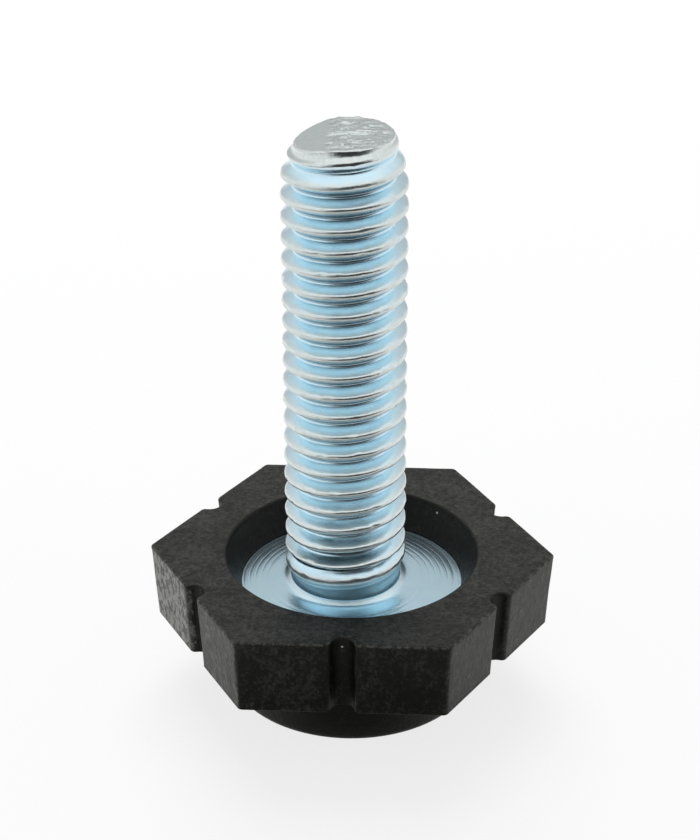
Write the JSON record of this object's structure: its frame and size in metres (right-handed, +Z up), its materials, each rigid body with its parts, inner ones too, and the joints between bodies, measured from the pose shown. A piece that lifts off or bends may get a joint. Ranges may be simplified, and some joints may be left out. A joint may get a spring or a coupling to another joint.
{
  "type": "adjustable cabinet leg",
  "caption": "Screw-in furniture leg: a threaded steel stud whose round flange is moulded into a black hexagonal base with grip notches, a dished recess and a round foot.",
  "frame": {"origin": "middle of the base's round resting face", "axes": "+Z up along the stud, towards the furniture; the hexagon's corners lie on +X and -X, and two of its flat sides face +Y and -Y"},
  "size_m": [0.0268, 0.0232, 0.0388],
  "materials": {
    "plated_steel": "zinc plated, blue-white, bright",
    "black_plastic": "moulded, fine matt grain"
  },
  "bodies": {
    "root": {"base": "black_plastic", "stud": "plated_steel"}
  },
  "joints": []
}
